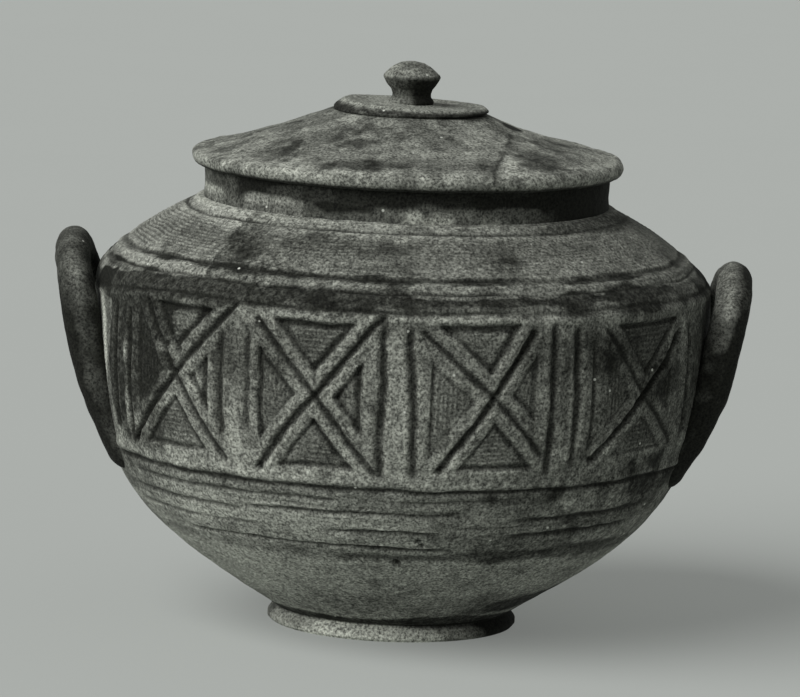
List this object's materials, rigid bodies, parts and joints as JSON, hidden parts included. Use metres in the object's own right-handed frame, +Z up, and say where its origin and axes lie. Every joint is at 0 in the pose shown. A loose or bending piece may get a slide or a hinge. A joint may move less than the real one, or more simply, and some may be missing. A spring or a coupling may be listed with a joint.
{
  "type": "lidded pottery jar",
  "caption": "Wide round earthenware jar on a small foot ring, with upright loop handles at the sides and a low conical lid with a knob.",
  "frame": {"origin": "centre of the foot ring's resting face", "axes": "+Z up along the jar's axis, +X towards the right handle, -Y towards the viewer of the picture"},
  "size_m": [0.3516, 0.31, 0.2847],
  "materials": {
    "foot_ring": "matte unglazed earthenware, turned",
    "lower_bowl": "matte unglazed earthenware, turned and smoothed",
    "belly_band": "matte unglazed earthenware with a cut relief frieze",
    "shoulder": "matte unglazed earthenware, combed",
    "shoulder_sherd": "matte unglazed earthenware, combed, lighter sherd",
    "neck_collar": "matte unglazed earthenware, turned",
    "neck_sherd": "matte unglazed earthenware, lighter sherd",
    "handle_left": "matte unglazed earthenware, pulled by hand",
    "handle_right": "matte unglazed earthenware, pulled by hand",
    "lid_cone": "matte unglazed earthenware, turned",
    "lid_sherd": "matte unglazed earthenware, turned",
    "lid_flange": "matte unglazed earthenware, turned",
    "lid_boss": "matte unglazed earthenware, turned",
    "lid_knob": "matte unglazed earthenware, shaped by hand"
  },
  "bodies": {
    "jar": {"foot_ring": "foot_ring", "lower_bowl": "lower_bowl", "belly_band": "belly_band", "shoulder": "shoulder", "shoulder_sherd": "shoulder_sherd", "neck_collar": "neck_collar", "neck_sherd": "neck_sherd", "handle_left": "handle_left", "handle_right": "handle_right"},
    "lid": {"lid_cone": "lid_cone", "lid_sherd": "lid_sherd", "lid_flange": "lid_flange", "lid_boss": "lid_boss", "lid_knob": "lid_knob"}
  },
  "joints": [
    {"name": "lid_lift", "type": "slide", "parent": "jar", "child": "lid", "axis": [0, 0, 1], "range_m": [0, 0.12]}
  ]
}
